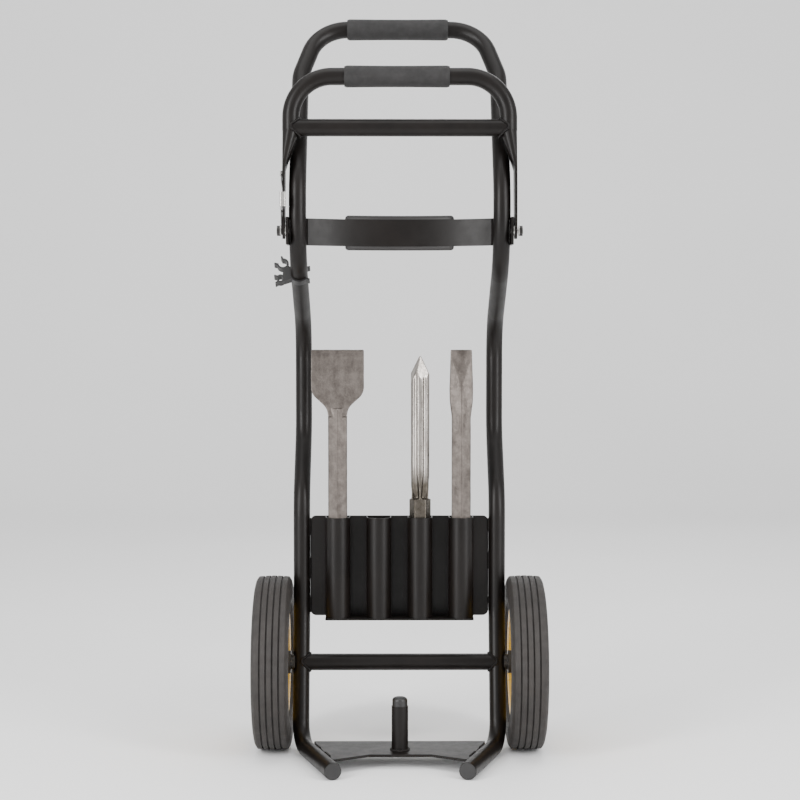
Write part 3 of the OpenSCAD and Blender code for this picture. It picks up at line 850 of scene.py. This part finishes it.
@dataclass(frozen=True)
class FoamSleeve:
    """A foam sleeve along X with soft ends and a shallow waist, between two corners of its space."""

    low: Vector
    high: Vector
    outer: float = 0.016
    slack: float = 0.00008
    waist: float = 0.0005
    rings: int = 9
    steps: int = 64

    def fill(self, bm: bmesh.types.BMesh) -> None:
        """Fills the mesh with the sleeve."""
        half = (self.high.x - self.low.x) / 2
        inner, outer = TUBE_R + self.slack, self.outer
        ends = [(inner, -half + 0.0006), (outer - 0.0014, -half), (outer, -half + 0.004)]
        end_soft = [0, 0.003, 0.004]
        middle = []
        for k in range(self.rings):
            dip = self.waist * math.cos(math.pi * k / (self.rings - 1) - math.pi / 2)
            middle.append((outer - dip, -half + 2 * half * (0.06 + 0.11 * k)))
        outline = rounded_profile(ends + middle + [(r, -x) for r, x in reversed(ends)],
                                  end_soft + [0] * self.rings + list(reversed(end_soft)))
        spun(bm, outline, Matrix.Translation((self.low + self.high) / 2), self.steps)


@dataclass(frozen=True)
class PadShape:
    """The pad's shape: a block with soft edges, bent to the strap's bow and let in behind it."""

    low: Vector
    high: Vector
    strap_rear: float
    bow: float = 0.038
    half_chord: float = 0.1366
    strap_t: float = 0.0036
    proud: float = 0.0006
    thickness: float = 0.011
    length: float = 0.163
    cuts_along: int = 40
    cuts_up: int = 14
    edge: float = 0.0045
    swell: float = 0.2
    fall_up: float = 0.55
    fall_along: float = 0.25
    tuck: float = 0.012

    def fill(self, bm: bmesh.types.BMesh) -> None:
        """Fills the mesh with the bent pad."""
        height = self.high.z - self.low.z
        bow_r = (self.half_chord ** 2 + self.bow ** 2) / (2 * self.bow)
        centre_y = self.strap_rear - self.strap_t / 2 - bow_r
        offset = self.thickness / 2 + self.proud - self.strap_t / 2
        block = Matrix.Diagonal((self.length, self.thickness, height, 1))
        bmesh.ops.create_cube(bm, size=1, matrix=block)
        bmesh.ops.bevel(bm, geom=bm.edges[:], offset=self.edge, offset_type="OFFSET", segments=5, profile=0.5,
                        affect="EDGES", material=-1, clamp_overlap=True)
        for axis, extent, cuts in ((Vector((1, 0, 0)), self.length, self.cuts_along),
                                   (Vector((0, 0, 1)), height, self.cuts_up)):
            for k in range(1, cuts):
                self._cut(bm, axis * ((k / cuts - 0.5) * (extent - 2 * self.edge)), axis)
        mid_z = (self.low.z + self.high.z) / 2
        for vert in bm.verts:
            x, y, z = vert.co
            across, up = 2 * x / self.length, 2 * z / height
            crown = (1 - self.fall_up * up ** 2) * (1 - self.fall_along * across ** 4)
            if y > 0:
                y *= 1 - self.swell + self.swell * crown
            x *= 1 - self.tuck * up ** 2
            angle = x / bow_r
            radius = bow_r + offset + y
            vert.co = Vector((radius * math.sin(angle), centre_y + radius * math.cos(angle), mid_z + z))

    @staticmethod
    def _cut(bm: bmesh.types.BMesh, at: Vector, normal: Vector) -> None:
        """Cuts every face along a plane."""
        geom = bm.verts[:] + bm.edges[:] + bm.faces[:]
        bmesh.ops.bisect_plane(bm, geom=geom, dist=1e-7, plane_co=at, plane_no=normal)


@dataclass
class BailAssembly:
    """The folding front bail with its grip, cross tube and lanyard."""

    shop: Shop
    lean: float = math.radians(6.2)
    gauge: float = 0.3186
    bead: WeldBead = WeldBead(0.0019)
    plain_nodes: tuple[str, ...] = ("bail_tube", "bail_cross_tube", "lanyard_cable", "lanyard_ferrule",
                                    "lanyard_rivet")

    def build(self) -> None:
        """Builds every piece of the bail."""
        for node in self.plain_nodes:
            self.shop.dress(node)
        sleeve = FoamSleeve(*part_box("bail_grip"))
        self.shop.piece("bail_grip_foam", Body.BAIL, "grip_foam", sleeve.fill, ("bail_grip",))
        self.shop.piece("bail_welds", Body.BAIL, "powder_coat", self._welds)

    def _welds(self, bm: bmesh.types.BMesh) -> None:
        """Beads round both ends of the cross tube."""
        low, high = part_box("bail_cross_tube")
        up = Vector((0, math.sin(self.lean), math.cos(self.lean)))
        for side in Side:
            root = Vector((side.value * self.gauge / 2, (low.y + high.y) / 2, (low.z + high.z) / 2))
            self.bead.lay(bm, saddle(side, root, up), seed=7.0 * side.value)


@dataclass
class WheelAssembly:
    """One wheel: ribbed tyre, pressed rim discs, hub and bushings."""

    shop: Shop
    side: Side
    rib_count: int = 5
    rib_pitch: float = 0.0093
    groove: tuple[float, float] = (0.0022, 0.003)
    crown_fall: float = 0.0010
    rib_fall: float = 0.0016
    seat_inset: float = 0.007
    steps: int = 128
    place: Matrix = field(init=False)
    radius: float = field(init=False)
    width: float = field(init=False)
    rim_radius: float = field(init=False)

    def __post_init__(self) -> None:
        """Reads the wheel's place and sizes from the frame."""
        low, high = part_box("tyre_" + self.side.word)
        self.place = Matrix.Translation((low + high) / 2) @ Matrix.Diagonal((self.side.value, 1, 1, 1))
        self.radius = (high.z - low.z) / 2
        self.width = high.x - low.x
        rim_low, rim_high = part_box("rim_" + self.side.word)
        self.rim_radius = (rim_high.z - rim_low.z) / 2

    def build(self) -> None:
        """Builds every piece of the wheel."""
        word = self.side.word
        body = Body("wheel_" + word)
        self.shop.piece("tyre_tread_" + word, body, "tyre_rubber", self._tyre, ("tyre_" + word,))
        self.shop.piece("rim_discs_" + word, body, "yellow_rim", self._rim, ("rim_" + word,))
        self.shop.dress("hub_" + word)
        self.shop.dress("bushings_" + word)

    def _tyre(self, bm: bmesh.types.BMesh) -> None:
        """Ribbed tread, soft shoulders and full sidewalls with a rim-guard ridge."""
        out, half, rim = self.radius, self.width / 2, self.rim_radius
        wide, deep = self.groove
        edge = self.rib_count * self.rib_pitch / 2
        wall = [(rim + 0.0002, half - 0.0053), (rim + 0.003, half - 0.0046), (rim + 0.0045, half - 0.0022),
                (rim + 0.0085, half - 0.0012), (rim + 0.0095, half - 0.0006), (rim + 0.014, half),
                (out - 0.012, half), (out - 0.0060, half - 0.0014), (out - 0.0026, half - 0.0036),
                (out - 0.0012, edge - 0.0008)]
        soft = [0, 0.001, 0.001, 0.001, 0.001, 0.003, 0.005, 0.004, 0.002, 0.001]
        tread: list[tuple[float, float]] = []
        for k in range(1, self.rib_count):
            at = edge - k * self.rib_pitch
            floor = out - self.crown_fall * (abs(at) / edge) ** 2 - deep
            for x in (at + wide / 2, at - wide / 2):
                top = out - self.rib_fall * (abs(x) / edge) ** 2
                tread += [(top, x), (floor, x)] if x > at else [(floor, x), (top, x)]
        tread_soft = [0.0006] * len(tread)
        outline = rounded_profile(wall + tread + [(r, -x) for r, x in reversed(wall)],
                                  soft + tread_soft + list(reversed(soft)), 4)
        spun(bm, outline, self.place, self.steps)

    def _rim(self, bm: bmesh.types.BMesh) -> None:
        """Pressed discs with a rolled lip, a dished web and a raised boss round the hub."""
        rim = self.rim_radius
        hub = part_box("hub_" + self.side.word)
        hub_r = (hub[1].z - hub[0].z) / 2 - 0.0003
        seat = self.width / 2 - self.seat_inset
        outer = [(hub_r, 0.0135), (hub_r + 0.006, 0.0135), (hub_r + 0.010, 0.0100), (hub_r + 0.022, 0.0082),
                 (rim - 0.022, 0.0088), (rim - 0.011, 0.0122), (rim - 0.006, seat - 0.001),
                 (rim - 0.0015, seat + 0.0008), (rim, seat)]
        soft = [0, 0.002, 0.003, 0.006, 0.006, 0.005, 0.004, 0.001, 0]
        inner = [(r, -x) for r, x in reversed(outer)]
        outline = rounded_profile(outer + inner, soft + list(reversed(soft)), 5)
        spun(bm, outline, self.place, self.steps)


@dataclass
class SteelAssembly:
    """The three forged steels that stand in the holder."""

    shop: Shop
    voxel: float = 0.00105
    forged_dent: float = 0.00028
    rolled_dent: float = 0.00008

    def build(self) -> None:
        """Forges the steels: soft edges, hammer dents and pitted scale in the mesh itself."""
        self._forge(Body.SCALING_CHISEL, "forged_steel", self.forged_dent, 3)
        self._forge(Body.BULL_POINT, "bright_steel", self.rolled_dent, 1)
        self._forge(Body.NARROW_CHISEL, "forged_steel", self.forged_dent, 2)

    def _forge(self, body: Body, slot: str, dent: float, soften: int) -> None:
        """Makes one forged steel out of its CAD node.

        Args:
            body: The steel's body, which has the CAD node's name.
            slot: The material slot of its finish.
            dent: Depth of the dents in metres.
            soften: Passes that round the edges.
        """
        node = body.value
        rough = bpy.data.objects.new(node + "_blank", frame["nodes"][node].data.copy())
        bpy.context.scene.collection.objects.link(rough)
        weld = rough.modifiers.new("joined", "WELD")
        weld.merge_threshold = MERGE
        fine = rough.modifiers.new("fine", "REMESH")
        fine.mode = "VOXEL"
        fine.voxel_size = self.voxel
        soft = rough.modifiers.new("soft", "SMOOTH")
        soft.factor = 0.5
        soft.iterations = soften
        bpy.context.view_layer.update()
        ready = rough.evaluated_get(bpy.context.evaluated_depsgraph_get())
        mesh = bpy.data.meshes.new_from_object(ready)
        blank = rough.data
        bpy.data.objects.remove(rough)
        bpy.data.meshes.remove(blank)

        def fill(bm: bmesh.types.BMesh) -> None:
            """Loads the fine mesh and dents it."""
            bm.from_mesh(mesh)
            bm.normal_update()
            for vert in bm.verts:
                vert.co += vert.normal * dent * self._dent(vert.co)

        self.shop.piece(node + "_forging", body, slot, fill, (node,))
        bpy.data.meshes.remove(mesh)

    @staticmethod
    def _dent(at: Vector) -> float:
        """Height of the forged skin at a point, from about -1 to 1."""
        broad = noise.noise(at * 90)
        fine = noise.noise(at * 330 + Vector((7, 3, 1)))
        pit = noise.noise(at * 150 + Vector((1, 9, 4)))
        return 0.55 * broad + 0.3 * fine - 0.6 * max(0.0, pit - 0.28)


# ---------------------------------------------------------------- studio


@dataclass
class Studio:
    """Pale floor, soft lights and the camera."""

    lens: float = 80.48
    stand: tuple[float, float, float] = (-0.0163, -2.6753, 0.6555)
    pitch: float = -2.613
    yaw: float = 0.363
    sensor: float = 36
    clip_end: float = 60
    floor_half: float = 9
    sweep_start: float = 3.2
    sweep_r: float = 1.2
    sweep_steps: int = 24
    wall_top: float = 7
    surround: float = 1.0

    def build(self) -> None:
        """Sets up the studio round the truck."""
        self._floor()
        self._lights()
        self._camera()
        log.info("studio set")

    def _floor(self) -> None:
        """A wide floor that sweeps up behind the truck."""
        bm = bmesh.new()
        left, start, sweep = -self.floor_half, self.sweep_start, self.sweep_r
        outline = [(left, 0.0)]
        for k in range(self.sweep_steps + 1):
            a = math.pi / 2 * k / self.sweep_steps
            outline.append((start + sweep * math.sin(a), sweep * (1 - math.cos(a))))
        outline.append((start + sweep, self.wall_top))
        verts = [bm.verts.new((left, y, z)) for y, z in outline]
        edges = [bm.edges.new(pair) for pair in zip(verts, verts[1:])]
        grown = bmesh.ops.extrude_edge_only(bm, edges=edges)["geom"]
        far = [item for item in grown if isinstance(item, bmesh.types.BMVert)]
        bmesh.ops.translate(bm, verts=far, vec=(2 * self.floor_half, 0, 0))
        bmesh.ops.recalc_face_normals(bm, faces=bm.faces)
        smooth(bm)
        mesh = bpy.data.meshes.new("studio_floor")
        bm.to_mesh(mesh)
        bm.free()
        mesh.materials.append(StudioFloor().build())
        obj = bpy.data.objects.new("studio_floor", mesh)
        bpy.context.scene.collection.objects.link(obj)

    def _lights(self) -> None:
        """A soft key and fill at the sides, a top light and a pale surround."""
        self._panel("key_panel", (-1.9, -1.9, 1.3), (0, 0, 0.6), (0.6, 2.4), 95)
        self._panel("fill_panel", (2.0, -1.7, 1.3), (0, 0, 0.6), (0.6, 2.4), 80)
        self._panel("top_panel", (0.0, -0.3, 3.1), (0, 0, 0.3), (2.4, 1.8), 40)
        self._panel("back_panel", (0.6, 2.4, 2.2), (0, 0, 0.6), (1.6, 1.4), 16)
        world = bpy.data.worlds.new("pale_room")
        world.use_nodes = True
        shade = world.node_tree.nodes["Background"]
        shade.inputs["Color"].default_value = (1, 1, 1, 1)
        shade.inputs["Strength"].default_value = self.surround
        bpy.context.scene.world = world

    @staticmethod
    def _panel(name: str, at: Sequence[float], aim: Sequence[float], size: tuple[float, float],
               watts: float) -> None:
        """Adds one soft rectangular light.

        Args:
            name: The light's name.
            at: Where it stands.
            aim: The point it faces.
            size: Its width and height.
            watts: Its power.
        """
        light = bpy.data.lights.new(name, "AREA")
        light.shape = "RECTANGLE"
        light.size, light.size_y = size
        light.energy = watts
        obj = bpy.data.objects.new(name, light)
        obj.location = at
        obj.rotation_euler = (Vector(aim) - Vector(at)).to_track_quat("-Z", "Y").to_euler()
        bpy.context.scene.collection.objects.link(obj)

    def _camera(self) -> None:
        """The camera, a little above the middle, looking slightly down."""
        data = bpy.data.cameras.new("camera")
        data.lens = self.lens
        data.sensor_width = self.sensor
        data.clip_end = self.clip_end
        obj = bpy.data.objects.new("camera", data)
        obj.location = self.stand
        obj.rotation_euler = (math.radians(90 + self.pitch), 0, math.radians(-self.yaw))
        bpy.context.scene.collection.objects.link(obj)
        bpy.context.scene.camera = obj


def main() -> None:
    """Builds the truck and its studio."""
    shop = Shop(Palette())
    Studio().build()
    FrameAssembly(shop).build()
    BailAssembly(shop).build()
    for side in Side:
        WheelAssembly(shop, side).build()
    SteelAssembly(shop).build()


if __name__ == "__main__":
    main()
